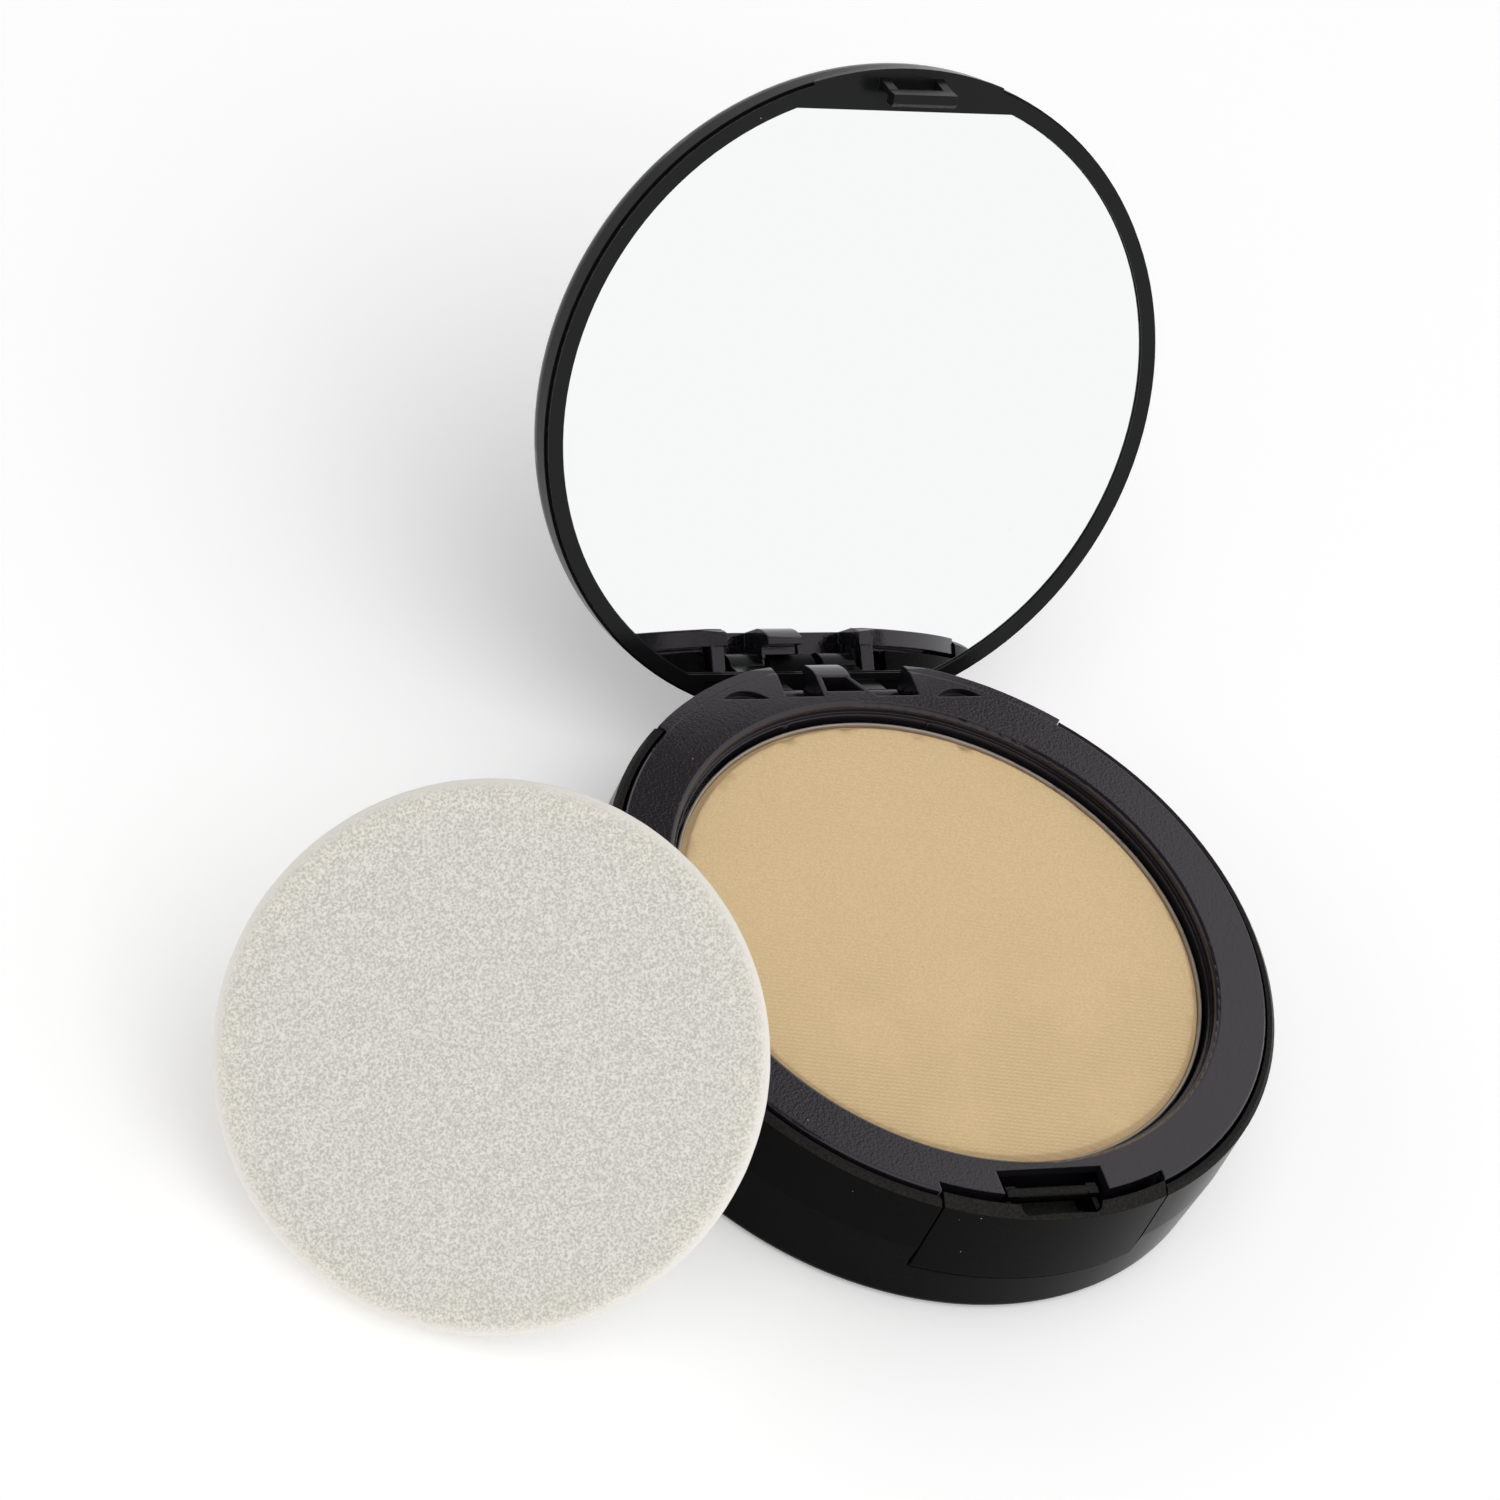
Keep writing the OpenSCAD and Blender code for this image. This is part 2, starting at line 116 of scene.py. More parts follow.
class Recipe:
    """The nodes of a material or a world, and the one method that adds to them."""

    def __init__(self, owner, coordinates="Object"):
        owner.use_nodes = True
        self.owner = owner
        self.tree = owner.node_tree
        self.tree.nodes.clear()
        self.place = self.node("ShaderNodeTexCoord", {}, {}, coordinates)

    def node(self, kind, settings, inputs, output=0):
        """Adds a node: its settings first, then its sockets' values or links."""
        node = self.tree.nodes.new(kind)
        for name, setting in settings.items():
            setattr(node, name, setting)
        for name, value in inputs.items():
            socket = node.inputs[name]
            if isinstance(value, Value):
                self.tree.links.new(value.socket, socket)
            elif hasattr(value, "__len__") and socket.type == "RGBA":
                socket.default_value = (*value[:3], 1)
            else:
                socket.default_value = value
        if node.outputs:
            return Value(self, node.outputs[output])

    def axes(self, vector, names="XYZ"):
        """The numbers of a vector along the named axes."""
        return [self.node("ShaderNodeSeparateXYZ", {}, {"Vector": vector}, name) for name in names]

    def attribute(self, name):
        """A number stored at the piece's points."""
        return self.node("ShaderNodeAttribute", {"attribute_name": name}, {}, "Fac")

    def noise(self, pitch, detail=2.0, roughness=0.5, place=None):
        """Noise with lumps about pitch metres across, from 0 to 1."""
        inputs = {"Vector": place or self.place, "Scale": 1 / pitch, "Detail": detail}
        inputs["Roughness"] = roughness
        return self.node("ShaderNodeTexNoise", {}, inputs)

    def cells(self, pitch, feature="F1", output="Distance"):
        """Distance, in pitches, to the nearest of points scattered about pitch metres apart, or its colour."""
        inputs = {"Vector": self.place, "Scale": 1 / pitch}
        return self.node("ShaderNodeTexVoronoi", {"feature": feature}, inputs, output)

    def specks(self, pitch, size, share):
        """1 inside scattered round specks of size (in pitches), on a share of the places; else 0."""
        near = self.cells(pitch)
        pick = self.node("ShaderNodeSeparateColor", {}, {"Color": self.cells(pitch, output="Color")})
        return (1 - near.smooth(size * 0.6, size)) * pick.above(1 - share)

    def mix(self, factor, first, second):
        """Colour that goes from first to second as factor goes from 0 to 1."""
        inputs = {"Factor": factor, 6: first, 7: second}
        return self.node("ShaderNodeMix", {"data_type": "RGBA"}, inputs, 2)

    def rounded(self, radius):
        """Normal that rounds the edges over radius metres."""
        return self.node("ShaderNodeBevel", {"samples": 6}, {"Radius": radius})

    def bump(self, height, strength, depth, normal=None):
        """Normal of a relief: height from 0 to 1 stands for depth metres."""
        inputs = {"Height": height, "Strength": strength, "Distance": depth}
        if normal is not None:
            inputs["Normal"] = normal
        return self.node("ShaderNodeBump", {}, inputs)

    def finish(self, **sockets):
        """Ends in one Principled surface with these sockets, and returns the material."""
        inputs = {name.replace("_", " "): value for name, value in sockets.items()}
        surface = self.node("ShaderNodeBsdfPrincipled", {}, inputs)
        self.node("ShaderNodeOutputMaterial", {}, {"Surface": surface})
        return self.owner


def new_material(name):
    """Recipe of a new, empty material."""
    return Recipe(bpy.data.materials.new(name))


# ---------------------------------------------------------------- materials

EDGE = 0.12 * MM
DUST_COLOUR = (0.4, 0.38, 0.36)
POWDER_FILM_COLOUR = (0.36, 0.29, 0.22)
# Painted shade in the hollows of the foam's cells.
FOAM_CELL_SHADE_COLOUR = (0.5, 0.485, 0.44)
FOAM_FLECK_COLOUR = (0.74, 0.64, 0.5)


def moulded_plastic(name, colour, gloss, grain, dust, level, edge=EDGE, tint=(1, 1, 1), film=0.0):
    """Black moulded plastic: a fine grained skin, smears that change its gloss, stray powder specks,
    and a film on the faces that look up that is fine dust and partly a painted highlight along their top
    edges.

    gloss is the roughness, grain the strength of the relief, dust the share of places with a speck, level
    the strength of the reflection, and edge the radius that softens the edges, in metres.
    """
    r = new_material(name)
    smears = r.noise(9 * MM, 3, 0.6)
    fine = r.noise(0.3 * MM, 2)
    specks = r.specks(1.0 * MM, 0.08, dust)
    smudge = r.noise(5 * MM, 4, 0.65).smooth(0.62, 0.78) * r.noise(0.5 * MM, 2).smooth(0.5, 0.75)
    facing = r.node("ShaderNodeNewGeometry", {}, {}, "Normal")
    # Faces that look up are lightened by the film: fine dust, and partly a painted highlight on top edges.
    dust_and_top_highlight = r.axes(facing, "Z")[0].smooth(0.25, 0.8)
    veil = (specks + smudge * (0.25 * dust) + dust_and_top_highlight * fine * film).at_most(1)
    shade = r.mix(smears * 0.5 + fine * 0.5, colour, [c * 1.9 for c in colour])
    return r.finish(
        Base_Color=r.mix(veil, shade, DUST_COLOUR),
        Roughness=gloss + (smears - 0.5) * 0.06 + veil * 0.4,
        Specular_IOR_Level=level,
        Specular_Tint=tint,
        Normal=r.bump(fine, grain, 0.03 * MM, r.rounded(edge)),
    )


def rubbed_metal(name, colour, roughness, grain, dust=0.0):
    """Metal with fine drawn lines, dulled in patches by a dust of powder."""
    r = new_material(name)
    lines = r.node("ShaderNodeMapping", {}, {"Vector": r.place, "Scale": grain})
    drawn = r.noise(0.25 * MM, 3, 0.6, lines)
    film = r.noise(1.2 * MM, 4, 0.7).smooth(0.3, 0.6) * dust
    bare = r.mix(drawn, colour, [c * 0.8 for c in colour])
    return r.finish(
        Base_Color=r.mix(film, bare, POWDER_FILM_COLOUR),
        Metallic=1 - film,
        Roughness=roughness + drawn * 0.12,
        Normal=r.bump(drawn, 0.3, 0.01 * MM, r.rounded(0.06 * MM)),
    )


def silvered_glass():
    """Mirror: polished, with the faintest wipe marks and a few specks of powder."""
    r = new_material("silvered_glass")
    wipe = r.noise(14 * MM, 4, 0.6).smooth(0.45, 0.8)
    specks = r.specks(2.4 * MM, 0.04, 0.1)
    return r.finish(
        Base_Color=r.mix(specks * 0.5, (0.93, 0.935, 0.94), (0.7, 0.66, 0.6)),
        Metallic=1,
        Roughness=0.012 + wipe * 0.02 + specks * 0.3,
        Normal=r.rounded(0.1 * MM),
    )


def pressed_powder(settings):
    """Matt face powder: a cloth's ribs pressed in, clearest at the front, with grains, darker crumbs and
    painted shade in the chips of its edge.

    The ribs are a sine along the turned Y axis, whose height a second sine along the turned X axis changes.
    """
    r = new_material("pressed_powder")
    skew = (0, 0, math.radians(10))
    turned = r.node("ShaderNodeMapping", {}, {"Vector": r.place, "Rotation": skew})
    wander = r.noise(5 * MM, 2)
    across, along = r.axes(turned, "XY")
    depth = r.axes(r.place, "Y")[0]
    turns = 2 * math.pi / settings.weave_pitch
    weft = (along * turns + wander * 2.4).sine()
    warp = (across * (turns * 0.8) + wander * 2.0).sine()
    weave = 0.5 + weft * (0.3 + warp * 0.2)
    front = 1 - depth.smooth(-22 * MM, 6 * MM)
    patches = r.noise(12 * MM, 2).smooth(0.25, 0.6) * (0.2 + front * 0.8)
    grains = r.noise(0.24 * MM, 3, 0.75)
    blotch = r.noise(11 * MM, 3, 0.55)
    crumbs = r.specks(0.9 * MM, 0.16, 0.1)
    base = list(settings.colour)
    tone = r.mix(blotch, [c * 0.96 for c in base], [min(1, c * 1.05) for c in base])
    tone = r.mix(weave * patches * 0.8, tone, [c * 0.7 for c in base])
    tone = r.mix(grains.smooth(0.4, 0.6) * 0.5, tone, [c * 0.76 for c in base])
    tone = r.mix(crumbs * 0.4, tone, [c * 0.62 for c in base])
    tone = r.mix(r.attribute("bevel") * 0.6, tone, settings.bevel_colour)
    # Painted shade: the chipped edge darkens by how deep it is bitten.
    chip_shade_colour = [base[0] * 0.62, base[1] * 0.5, base[2] * 0.42]
    tone = r.mix(r.attribute("chip_shade") * 0.75, tone, chip_shade_colour)
    relief = weave * (patches * 0.8 + 0.1) * 0.6 + grains * 0.4
    return r.finish(
        Base_Color=tone,
        Roughness=0.95,
        Specular_IOR_Level=0.12,
        Normal=r.bump(relief, 0.9, settings.weave_depth),
    )


def open_cell_foam(settings):
    """White foam: crinkled fine cells with painted shade in their hollows, cool in the middle and creamy near
    the rim, smooth on its side.
    """
    r = new_material("open_cell_foam")
    crinkle = r.noise(settings.cell_pitch, 1, 0.5)
    walls = r.cells(settings.cell_pitch * 1.5, "SMOOTH_F1")
    cell = crinkle * 0.8 + walls * 0.3
    side = r.attribute("side")
    blotch = r.noise(6 * MM, 3, 0.6)
    cream = (r.attribute("rim") + (blotch - 0.5) * 0.9).smooth(0.35, 1.0)
    tone = r.mix(cream, settings.centre_colour, settings.rim_colour)
    fleck = r.noise(2.2 * MM, 2).smooth(0.6, 0.72) * crinkle.smooth(0.5, 0.7)
    tone = r.mix(fleck * 0.3, tone, FOAM_FLECK_COLOUR)
    # Painted shade in the hollows of the foam's cells, left off the smooth cut side.
    shade = (1 - cell.smooth(0.34, 0.72)) * (1 - side)
    tone = r.mix(shade * 0.85, tone, FOAM_CELL_SHADE_COLOUR)
    tone = r.mix(side * 0.85, tone, settings.side_colour)
    return r.finish(
        Base_Color=tone,
        Roughness=0.9,
        Specular_IOR_Level=0.2,
        Normal=r.bump(cell * (1 - side * 0.8), 0.9, 0.16 * MM),
    )


def plain_paper():
    """Blank coated sticker with paper fibres."""
    r = new_material("sticker_paper")
    fibres = r.noise(0.6 * MM, 4, 0.7)
    return r.finish(
        Base_Color=r.mix(fibres, (0.62, 0.62, 0.6), (0.72, 0.72, 0.7)),
        Roughness=0.6 + fibres * 0.1,
        Normal=r.bump(fibres, 0.2, 0.03 * MM),
    )


def tacky_pad(name, colour):
    """Adhesive: milky and slightly uneven."""
    r = new_material(name)
    lumps = r.noise(1.5 * MM, 3)
    return r.finish(
        Base_Color=r.mix(lumps, colour, [c * 0.85 for c in colour]),
        Roughness=0.45 + lumps * 0.2,
        Normal=r.bump(lumps, 0.4, 0.05 * MM),
    )


# ---------------------------------------------------------------- surfaces


def lattice_noise(points, pitch, seed):
    """Smooth noise from -1 to 1: random values on a cubic lattice, blended between its corners."""
    table = np.random.default_rng(seed).uniform(-1, 1, (64, 64, 64))
    at = points / pitch
    low = np.floor(at).astype(int)
    t = at - low
    t = t * t * (3 - 2 * t)
    total = np.zeros(len(points))
    for corner in np.ndindex(2, 2, 2):
        weight = np.prod(np.where(corner, t, 1 - t), axis=1)
        x, y, z = ((low + corner) % 64).T
        total += weight * table[x, y, z]
    return total


def put_mesh(name, points, *groups):
    """New smooth object from an array of points and arrays of faces, an array for each count of corners."""
    sizes = np.concatenate([np.full(len(group), group.shape[1]) for group in groups])
    corners = np.concatenate([group.ravel() for group in groups]).astype(np.int32)
    mesh = bpy.data.meshes.new(name)
    mesh.vertices.add(len(points))
    mesh.vertices.foreach_set("co", np.asarray(points, np.float32).ravel())
    mesh.loops.add(len(corners))
    mesh.loops.foreach_set("vertex_index", corners)
    mesh.polygons.add(len(sizes))
    mesh.polygons.foreach_set("loop_start", (np.cumsum(sizes) - sizes).astype(np.int32))
    mesh.polygons.foreach_set("use_smooth", np.ones(len(sizes), bool))
    mesh.update(calc_edges=True)
    thing = bpy.data.objects.new(name, mesh)
    bpy.context.scene.collection.objects.link(thing)
    return thing


def tube_faces(rows, count):
    """Quads of a tube of rows of count points, and the triangles that close its ends on two more points."""
    row = np.arange(rows - 1)[:, None] * count
    step = np.arange(count)
    following = (step + 1) % count
    quads = np.stack([row + step, row + count + step, row + count + following, row + following], -1)
    first_end, last_end, last_row = rows * count, rows * count + 1, (rows - 1) * count
    first_cap = np.stack([np.full(count, first_end), step, following], -1)
    last_cap = np.stack([np.full(count, last_end), last_row + following, last_row + step], -1)
    return quads.reshape(-1, 4), np.concatenate([first_cap, last_cap])


def lathe(profile, count):
    """Profile points (radius, height) carried round Z in count steps, from the top pole to the bottom pole.

    The first and last profile points lie on the axis and become one point each. Returns the points, the
    quads, the poles' triangles, and each point's index along the profile.
    """
    inner = profile[1:-1]
    turn = np.linspace(0, 2 * np.pi, count, endpoint=False)
    radius, height = inner[:, 0][:, None], inner[:, 1][:, None]
    ring = np.stack(
        [radius * np.cos(turn), radius * np.sin(turn), np.broadcast_to(height, (len(inner), count))], -1
    ).reshape(-1, 3)
    poles = np.array([[0, 0, profile[0, 1]], [0, 0, profile[-1, 1]]])
    along = np.concatenate([np.repeat(np.arange(1, len(profile) - 1), count), [0, len(profile) - 1]])
    return np.concatenate([ring, poles]), *tube_faces(len(inner), count), along


def bowed_strip(low, high, sheet):
    """Strip of sheet metal that fills a box, bowed towards -Y: its points, quads and end triangles.

    Its middle line is a circle's arc in plan: y is the front plus the radius, less the root of the radius
    squared minus x squared. The section, a rectangle with rounded corners, is carried along that line.
    """
    half = high[0] - 0.1 * MM
    bow = high[1] - low[1] - sheet
    radius = (half**2 + bow**2) / (2 * bow)
    x = np.linspace(-half, half, 61)[:, None]
    turn = np.linspace(0, 2 * np.pi, 24, endpoint=False)
    thick = np.sign(np.cos(turn)) * np.abs(np.cos(turn)) ** 0.4 * sheet / 2
    tall = np.sign(np.sin(turn)) * np.abs(np.sin(turn)) ** 0.25 * (high[2] - low[2]) / 2
    place_x = x + x / radius * thick
    place_y = low[1] + sheet / 2 + radius - np.sqrt(radius**2 - x**2) / radius * (radius + thick)
    place_z = np.broadcast_to((low[2] + high[2]) / 2 + tall, place_x.shape)
    rows = np.stack([place_x, place_y, place_z], -1)
    points = np.concatenate([rows.reshape(-1, 3), rows[[0, -1]].mean(axis=1)])
    return points, *tube_faces(len(x), len(turn))


def arc(centre, radius, start, end, steps):
    """Points on an arc in the profile's plane, from one angle to another, in degrees."""
    turn = np.radians(np.linspace(start, end, steps))
    return np.stack([centre[0] + radius * np.cos(turn), centre[1] + radius * np.sin(turn)], -1)


def straight(start, end, steps):
    """Points on a line from start to end, without the last."""
    t = np.linspace(0, 1, steps, endpoint=False)[:, None]
    return np.asarray(start) * (1 - t) + np.asarray(end) * t


def tag_points(thing, name, values):
    """Stores a number at each of the piece's points."""
    attribute = thing.data.attributes.new(name, "FLOAT", "POINT")
    attribute.data.foreach_set("value", np.asarray(values, np.float32))


def paint_node(node, material):
    """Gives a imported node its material."""
    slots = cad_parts[node].data.materials
    slots.clear()
    slots.append(material)


# ---------------------------------------------------------------- settings


class CaseSettings(bpy.types.PropertyGroup):
    case_colour: FloatVectorProperty(
        name="Case", description="Colour of the satin case", subtype="COLOR",
        default=(0.0022, 0.0022, 0.0022),
    )
    tray_colour: FloatVectorProperty(
        name="Tray", description="Colour of the tray", subtype="COLOR",
        default=(0.0062, 0.0056, 0.0072),
    )
    frame_colour: FloatVectorProperty(
        name="Mirror frame", description="Colour of the mirror's frame", subtype="COLOR",
        default=(0.0042, 0.0046, 0.0044),
    )
    lid_colour: FloatVectorProperty(
        name="Lid", description="Colour of the glossy lid", subtype="COLOR",
        default=(0.003, 0.003, 0.0032),
    )
    case_gloss: FloatProperty(name="Case roughness", description="0 is polished", default=0.22)
    tray_gloss: FloatProperty(name="Tray roughness", description="0 is polished", default=0.13)
    frame_gloss: FloatProperty(name="Frame roughness", description="0 is polished", default=0.2)
    lid_gloss: FloatProperty(name="Lid roughness", description="0 is polished", default=0.1)
    dust: FloatProperty(name="Dust", description="Share of places with a powder speck", default=0.06)


class PowderSettings(bpy.types.PropertyGroup):
    colour: FloatVectorProperty(
        name="Colour", description="Colour of the powder", subtype="COLOR", default=(0.82, 0.608, 0.342)
    )
    bevel_colour: FloatVectorProperty(
        name="Bevel", description="Colour of the powder's bevelled edge", subtype="COLOR",
        default=(0.80, 0.56, 0.33),
    )
    weave_pitch: FloatProperty(
        name="Weave pitch", description="Distance between pressed ribs", default=0.5 * MM, unit="LENGTH"
    )
    weave_depth: FloatProperty(
        name="Weave depth", description="Depth of pressed ribs", default=0.05 * MM, unit="LENGTH"
    )


class SpongeSettings(bpy.types.PropertyGroup):
    centre_colour: FloatVectorProperty(
        name="Middle", description="Colour in the middle", subtype="COLOR", default=(0.80, 0.785, 0.735)
    )
    rim_colour: FloatVectorProperty(
        name="Rim", description="Colour near the rim", subtype="COLOR", default=(0.84, 0.80, 0.715)
    )
    side_colour: FloatVectorProperty(
        name="Side", description="Colour of the cut side", subtype="COLOR", default=(0.83, 0.80, 0.76)
    )
    cell_pitch: FloatProperty(
        name="Cell size", description="Size of the foam's cells", default=0.24 * MM, unit="LENGTH"
    )
    relief: FloatProperty(
        name="Relief", description="Depth of the foam's dimples", default=0.09 * MM, unit="LENGTH"
    )


class StudioSettings(bpy.types.PropertyGroup):
    lens: FloatProperty(name="Lens", description="Camera's focal length in mm", default=160.4)
    key: FloatProperty(name="Key", description="Power of the soft box overhead", default=3.0, unit="POWER")
    sky: FloatProperty(name="Surround", description="Brightness of the white surround", default=1.0)


# ---------------------------------------------------------------- operators


class COMPACT_OT_stage(bpy.types.Operator):
    """Camera, pale floor, white surround and soft box"""

    bl_idname = "compact.stage"
    bl_label = "Stage"

    def execute(self, context):
        studio = context.scene.compact_studio
        self.camera(context, studio)
        self.floor(context)
        self.surround(context, studio)
        self.soft_box(context, "overhead", (-0.15, -0.25, 0.9), 0.9, studio.key)
        context.scene.view_settings.view_transform = "Standard"
        return {"FINISHED"}

    def camera(self, context, studio):
        place = Vector((-338.87, -372.87, 498.74)) * MM
        right = Vector((0.88750, -0.30584, 0.34468))
        forward = Vector((0.46056, 0.56462, -0.68490))
        up = right.cross(forward)
        turn = Matrix((right, up, -forward)).transposed()
        data = bpy.data.cameras.new("camera")
        data.lens = studio.lens
        data.sensor_width = 36
        data.clip_start = 0.01
        camera = bpy.data.objects.new("camera", data)
        camera.matrix_world = Matrix.Translation(place) @ turn.to_4x4()
        context.scene.collection.objects.link(camera)
        context.scene.camera = camera

    def floor(self, context):
        reach = 1.2
        corners = np.array([[-reach, -reach, 0], [reach, -reach, 0], [reach, reach, 0], [-reach, reach, 0]])
        floor = put_mesh("floor", corners, np.array([[0, 1, 2, 3]]))
        r = new_material("pale_floor")
        cloud = r.noise(0.2, 2)
        floor.data.materials.append(
            r.finish(
                Base_Color=r.mix(cloud, (0.93, 0.93, 0.93), (0.95, 0.95, 0.95)),
                Roughness=0.5,
                Specular_IOR_Level=0.3,
                Emission_Color=(1, 1, 1),
                Emission_Strength=0.2,
            )
        )

    def surround(self, context, studio):
        """White all round, greyer overhead, with a dark flag high at the back left."""
        world = bpy.data.worlds.new("white_surround")
        context.scene.world = world
        r = Recipe(world, "Generated")
        x, y, z = r.axes(r.place)
        overhead = z.smooth(0.86, 0.94)
        flag = (y * 0.9 - x).smooth(-0.012, 0.03) * z.smooth(0.5, 0.6)
        level = (1 - overhead * 0.5) * (1 - flag * 0.88) * studio.sky
        shine = r.node("ShaderNodeBackground", {}, {"Color": (1, 1, 1), "Strength": level})
        r.node("ShaderNodeOutputWorld", {}, {"Surface": shine})

    def soft_box(self, context, name, place, side, power):
        """Square light of a side in metres, aimed at the origin."""
        data = bpy.data.lights.new(name, "AREA")
        data.size = side
        data.energy = power
        light = bpy.data.objects.new(name, data)
        light.location = place
        light.rotation_euler = (-Vector(place)).to_track_quat("-Z", "Y").to_euler()
        light.visible_glossy = False
        context.scene.collection.objects.link(light)


class COMPACT_OT_case(bpy.types.Operator):
    """Satin case, its inner moulding, the button and the sticker"""

    bl_idname = "compact.case"
    bl_label = "Case and button"

    def execute(self, context):
        s = context.scene.compact_case
        colour = list(s.case_colour)
        # film: dust and a painted highlight on the faces that look up, such as the button's top edge.
        satin = moulded_plastic(
            "satin_case", colour, gloss=s.case_gloss, grain=0.35, dust=s.dust, level=0.03, film=0.08
        )
        inner = moulded_plastic("inner_moulding", colour, gloss=0.5, grain=0.5, dust=0.0, level=0.08)
        paint_node("base_shell", satin)
        paint_node("release_button", satin)
        paint_node("base_insert", inner)
        paint_node("base_label", plain_paper())
        return {"FINISHED"}


class COMPACT_OT_tray(bpy.types.Operator):
    """Semi-gloss tray and its hinge knuckles"""

    bl_idname = "compact.tray"
    bl_label = "Tray"

    def execute(self, context):
        s = context.scene.compact_case
        violet = (1.0, 0.92, 1.0)
        shine = {"gloss": s.tray_gloss, "level": 0.6, "tint": violet}
        plastic = moulded_plastic(
            "tray_plastic", list(s.tray_colour), grain=0.5, dust=s.dust * 0.4, edge=0.18 * MM, **shine
        )
        paint_node("tray", plastic)
        return {"FINISHED"}


class COMPACT_OT_lid(bpy.types.Operator):
    """Glossy lid and its mirror"""

    bl_idname = "compact.lid"
    bl_label = "Lid and mirror"

    def execute(self, context):
        s = context.scene.compact_case
        glossy = moulded_plastic(
            "lid_plastic", list(s.lid_colour), s.lid_gloss, grain=0.08, dust=s.dust * 0.3, level=0.1
        )
        satin = moulded_plastic(
            "frame_plastic", list(s.frame_colour), s.frame_gloss, grain=0.4, dust=s.dust * 0.4, level=0.17
        )
        paint_node("lid_shell", glossy)
        paint_node("lid_frame", satin)
        paint_node("mirror", silvered_glass())
        return {"FINISHED"}


class COMPACT_OT_fittings(bpy.types.Operator):
    """Steel pin and spring, and the adhesive pads"""

    bl_idname = "compact.fittings"
    bl_label = "Pin, spring and adhesive"

    def execute(self, context):
        steel = rubbed_metal("spring_steel", (0.55, 0.55, 0.54), 0.25, (1, 8, 8))
        paint_node("hinge_pin", steel)
        self.spring(steel)
        paint_node("pan_adhesive", tacky_pad("pan_glue", (0.75, 0.7, 0.55)))
        paint_node("mirror_adhesive", tacky_pad("mirror_pad", (0.7, 0.7, 0.68)))
        return {"FINISHED"}

    def spring(self, steel):
        """Bowed strip built at rest; the real spring flattens towards its ends as the button is pressed."""
        low, high = (np.array(corner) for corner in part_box("button_spring"))
        strip = put_mesh("bowed_spring", *bowed_strip(low, high, sheet=0.3 * MM))
        strip.data.materials.append(steel)
        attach(strip, "base")
        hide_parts("button_spring")
        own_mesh(strip)


class COMPACT_OT_pan(bpy.types.Operator):
    """Thin pressed metal pan with a rolled rim"""

    bl_idname = "compact.pan"
    bl_label = "Pan"

    def execute(self, context):
        low, high = (np.array(corner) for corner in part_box("pan"))
        outer = high[0]
        wall = 0.35 * MM
        roll = wall / 2
        corner = 0.6 * MM
        profile = np.concatenate(
            [
                straight((0, low[2] + wall), (outer - wall - corner, low[2] + wall), 12),
                arc((outer - wall - corner, low[2] + wall + corner), corner, -90, 0, 8)[:-1],
                straight((outer - wall, low[2] + wall + corner), (outer - wall, high[2] - roll), 6),
                arc((outer - roll, high[2] - roll), roll, 180, 0, 8)[:-1],
                straight((outer, high[2] - roll), (outer, low[2] + corner), 6),
                arc((outer - corner, low[2] + corner), corner, 0, -90, 8)[:-1],
                straight((outer - corner, low[2]), (0, low[2]), 12),
                [[0, low[2]]],
            ]
        )
        pan = put_mesh("pressed_pan", *lathe(profile, 256)[:3])
        pan.data.materials.append(rubbed_metal("pan_metal", (0.5, 0.47, 0.45), 0.4, (1, 1, 8), 0.7))
        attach(pan, "tray")
        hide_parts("pan")
        return {"FINISHED"}


class COMPACT_OT_powder(bpy.types.Operator):
    """Pressed powder with a crumbly bevelled edge"""

    bl_idname = "compact.powder"
    bl_label = "Powder"

    def execute(self, context):
        settings = context.scene.compact_powder
        low, high = (np.array(corner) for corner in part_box("powder_cake"))
        outer = high[0]
        bevel = 0.75 * MM
        side = high[2] - bevel
        profile = np.concatenate(
            [
                straight((0, high[2]), (outer - bevel, high[2]), 96),
                straight((outer - bevel, high[2]), (outer, side), 10),
                straight((outer, side), (outer, low[2]), 8),
                straight((outer, low[2]), (0, low[2]), 8),
                [[0, low[2]]],
            ]
        )
        points, quads, caps, along = lathe(profile, 640)
        radius = np.hypot(points[:, 0], points[:, 1])
        turn = np.arctan2(points[:, 1], points[:, 0])
        # Crumbs and chips lower the bevelled edge, most at the back, and the face waves a little.
        edge = np.clip((radius - (outer - 2.2 * bevel)) / (2.2 * bevel), 0, 1)
        upper = np.clip((points[:, 2] - side) / bevel, 0, 1) * (along > 0)
        back = 0.35 + 0.65 * np.clip(np.sin(turn + 0.25), 0, 1) ** 2
        crumble = lattice_noise(points, 0.9 * MM, 3) * 0.6 + lattice_noise(points, 0.35 * MM, 4) * 0.4
        chips = np.clip(lattice_noise(points, 1.7 * MM, 5) - 0.35, 0, 1) * back
        face = lattice_noise(points, 7 * MM, 6) * 0.02 * MM
        bite = edge * upper * (np.abs(crumble) * 0.16 * back + chips * 1.1) * MM
        points[:, 2] -= bite
        points[:, 2] += np.where(upper > 0.99, face * (1 - edge) - 0.02 * MM, 0)
        cake = put_mesh("powder", points, quads, caps)
        # Painted shade in the chips: how deep the edge is bitten, from 0 to 1.
        tag_points(cake, "chip_shade", np.clip(bite / (0.45 * MM), 0, 1))
        tag_points(cake, "bevel", np.clip((radius - (outer - 1.6 * bevel)) / (0.9 * bevel), 0, 1) * back)
        cake.data.materials.append(pressed_powder(settings))
        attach(cake, "tray")
        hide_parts("powder_cake")
        return {"FINISHED"}


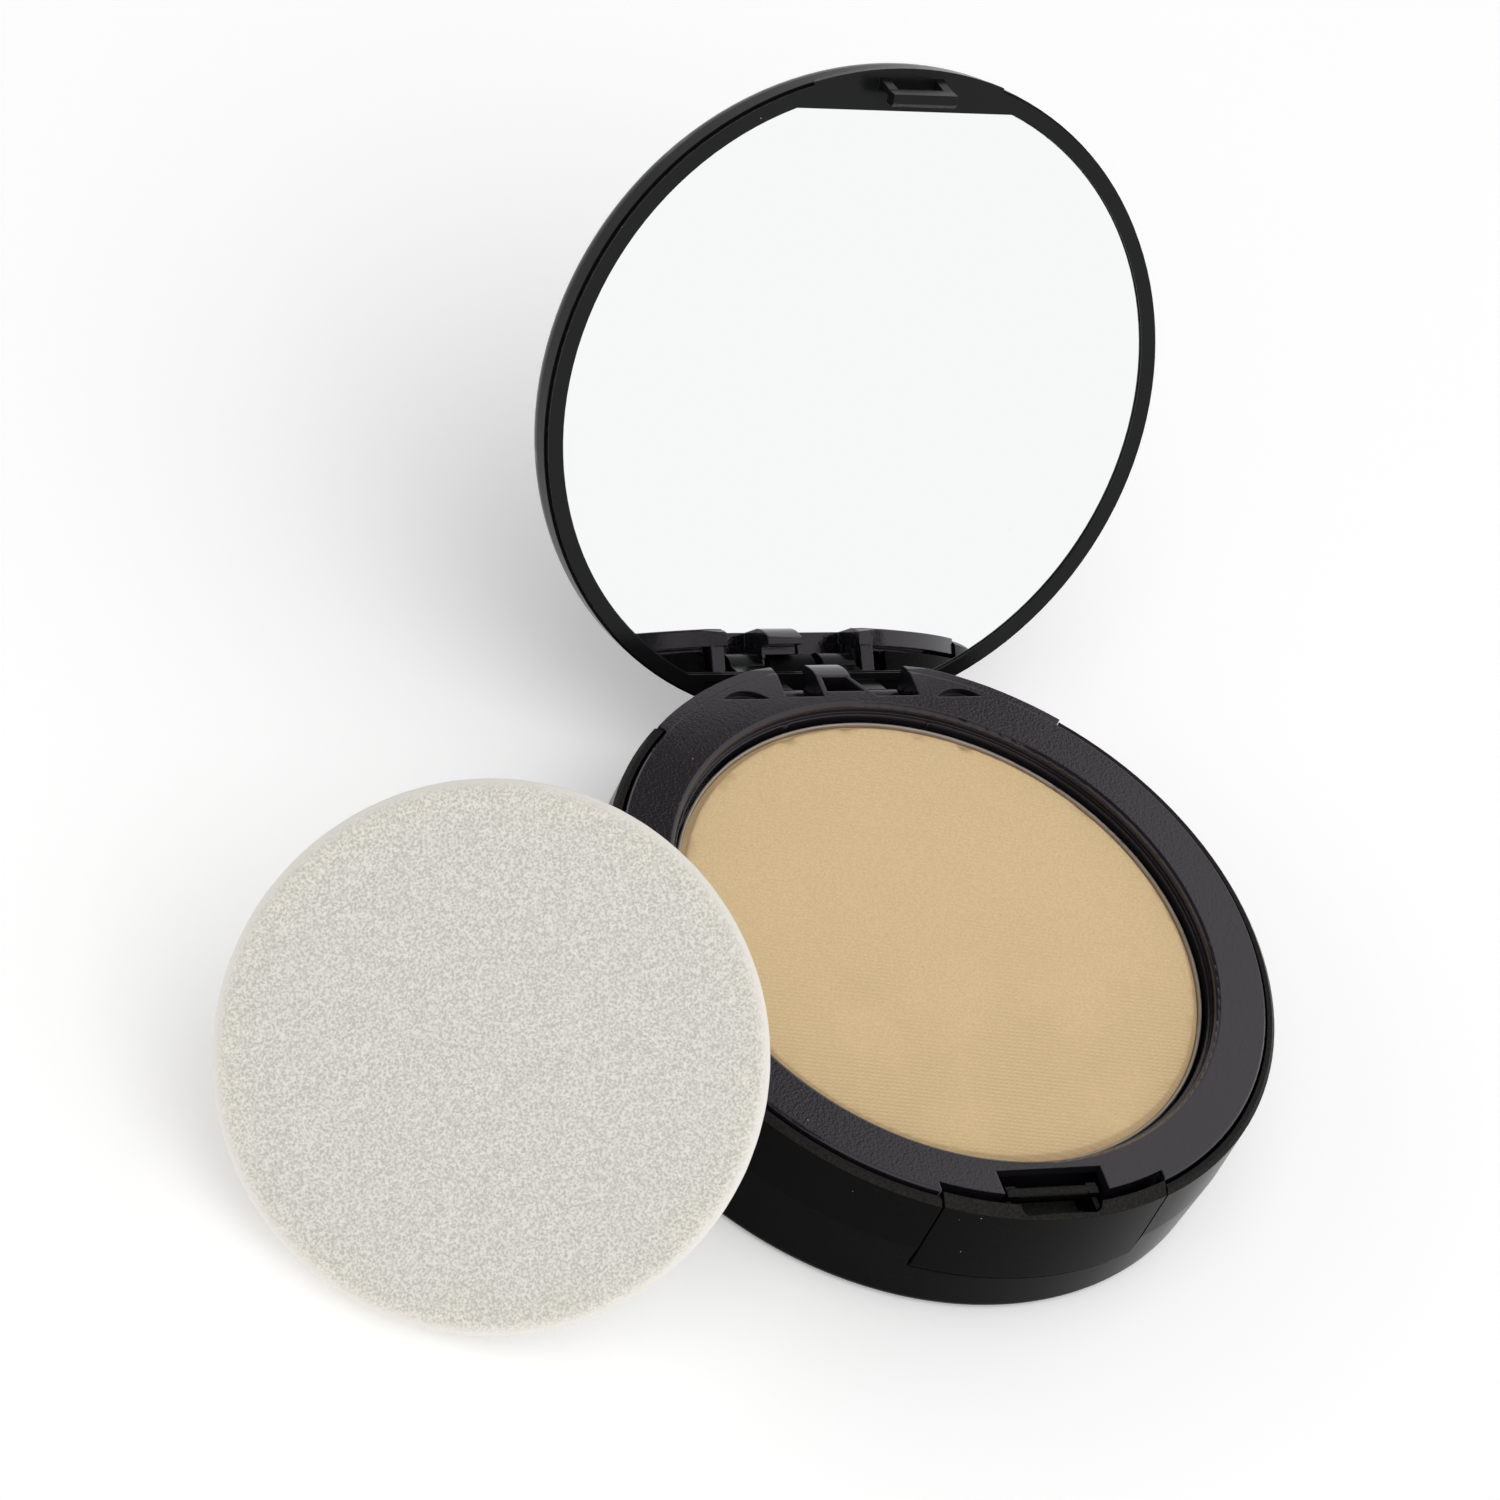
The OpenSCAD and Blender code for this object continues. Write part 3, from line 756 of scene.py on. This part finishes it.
class COMPACT_OT_sponge(bpy.types.Operator):
    """Round foam sponge with rolled edges and an open-cell skin"""

    bl_idname = "compact.sponge"
    bl_label = "Sponge"

    def execute(self, context):
        settings = context.scene.compact_sponge
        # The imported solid's points give the disc's middle, its axes, its radius and half its thickness.
        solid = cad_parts["sponge"]
        corners = np.empty(len(solid.data.vertices) * 3)
        solid.data.vertices.foreach_get("co", corners)
        corners = corners.reshape(-1, 3)
        low, high = (np.array(corner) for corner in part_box("sponge"))
        middle = (low + high) / 2
        axes = np.linalg.svd(corners - middle, full_matrices=False)[2]
        normal = axes[2] if axes[2][2] > 0 else -axes[2]
        across = np.cross([0, 0, 1], normal)
        across /= np.linalg.norm(across)
        upright = np.cross(normal, across)
        spread = corners - middle
        radius = np.hypot(spread @ across, spread @ upright).max() - settings.relief
        half = np.abs(spread @ normal).max() - settings.relief
        # Dimples of three sizes move the points along the disc's outward direction.
        points, quads, caps, _ = self.disc(radius, half)
        height = points[:, 2].copy()
        distance = np.hypot(points[:, 0], points[:, 1])
        dimples = (
            lattice_noise(points, 0.62 * MM, 11) * 0.5
            + lattice_noise(points, 1.3 * MM, 12) * 0.3
            + lattice_noise(points, 5 * MM, 13) * 0.6
        )
        outward = points / np.array([radius, radius, half]) ** 2
        outward /= np.linalg.norm(outward, axis=1, keepdims=True)
        points = points + outward * (dimples * settings.relief)[:, None]
        place = middle + points[:, :1] * across + points[:, 1:2] * upright + points[:, 2:] * normal
        sponge = put_mesh("foam_sponge", place, quads, caps)
        tag_points(sponge, "rim", np.clip((distance / radius - 0.55) / 0.42, 0, 1) ** 1.5)
        tag_points(sponge, "side", np.clip((0.93 * half - np.abs(height)) / (0.25 * half), 0, 1))
        sponge.data.materials.append(open_cell_foam(settings))
        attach(sponge, "sponge")
        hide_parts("sponge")
        return {"FINISHED"}

    def disc(self, radius, half):
        """Lathe of a disc with rolled edges and faces crowned by a hair."""
        roll = 1.6 * MM
        crown = 0.25 * MM
        flat = radius - roll
        t = np.linspace(0, 1, 90, endpoint=False)
        top = np.stack([flat * t, half - crown * t**2], -1)
        rise = half - crown
        side_top = rise - roll
        bulge = straight((radius, side_top), (radius, -side_top), 14)
        corner = arc((flat, side_top), roll, 90, 0, 12)[:-1]
        lower = corner[::-1] * (1, -1)
        profile = np.concatenate([top, corner, bulge, lower, top[::-1] * (1, -1)])
        return lathe(profile, 460)


class COMPACT_PT_panel(bpy.types.Panel):
    """Steps and settings of the compact"""

    bl_label = "Powder Compact"
    bl_space_type = "VIEW_3D"
    bl_region_type = "UI"
    bl_category = "Compact"

    def draw(self, context):
        for step in STEPS:
            self.layout.operator(step.bl_idname)
        for name, group in GROUPS.items():
            settings = getattr(context.scene, name)
            for field in group.__annotations__:
                self.layout.prop(settings, field)


STEPS = (
    COMPACT_OT_stage,
    COMPACT_OT_case,
    COMPACT_OT_tray,
    COMPACT_OT_lid,
    COMPACT_OT_fittings,
    COMPACT_OT_pan,
    COMPACT_OT_powder,
    COMPACT_OT_sponge,
)
GROUPS = {
    "compact_studio": StudioSettings,
    "compact_case": CaseSettings,
    "compact_powder": PowderSettings,
    "compact_sponge": SpongeSettings,
}


def register():
    for name, group in GROUPS.items():
        bpy.utils.register_class(group)
        setattr(bpy.types.Scene, name, PointerProperty(type=group))
    for item in (*STEPS, COMPACT_PT_panel):
        bpy.utils.register_class(item)


def unregister():
    for item in (COMPACT_PT_panel, *reversed(STEPS)):
        bpy.utils.unregister_class(item)
    for name, group in GROUPS.items():
        delattr(bpy.types.Scene, name)
        bpy.utils.unregister_class(group)


def main():
    register()
    for step in STEPS:
        category, name = step.bl_idname.split(".")
        getattr(getattr(bpy.ops, category), name)()


if __name__ == "__main__":
    main()
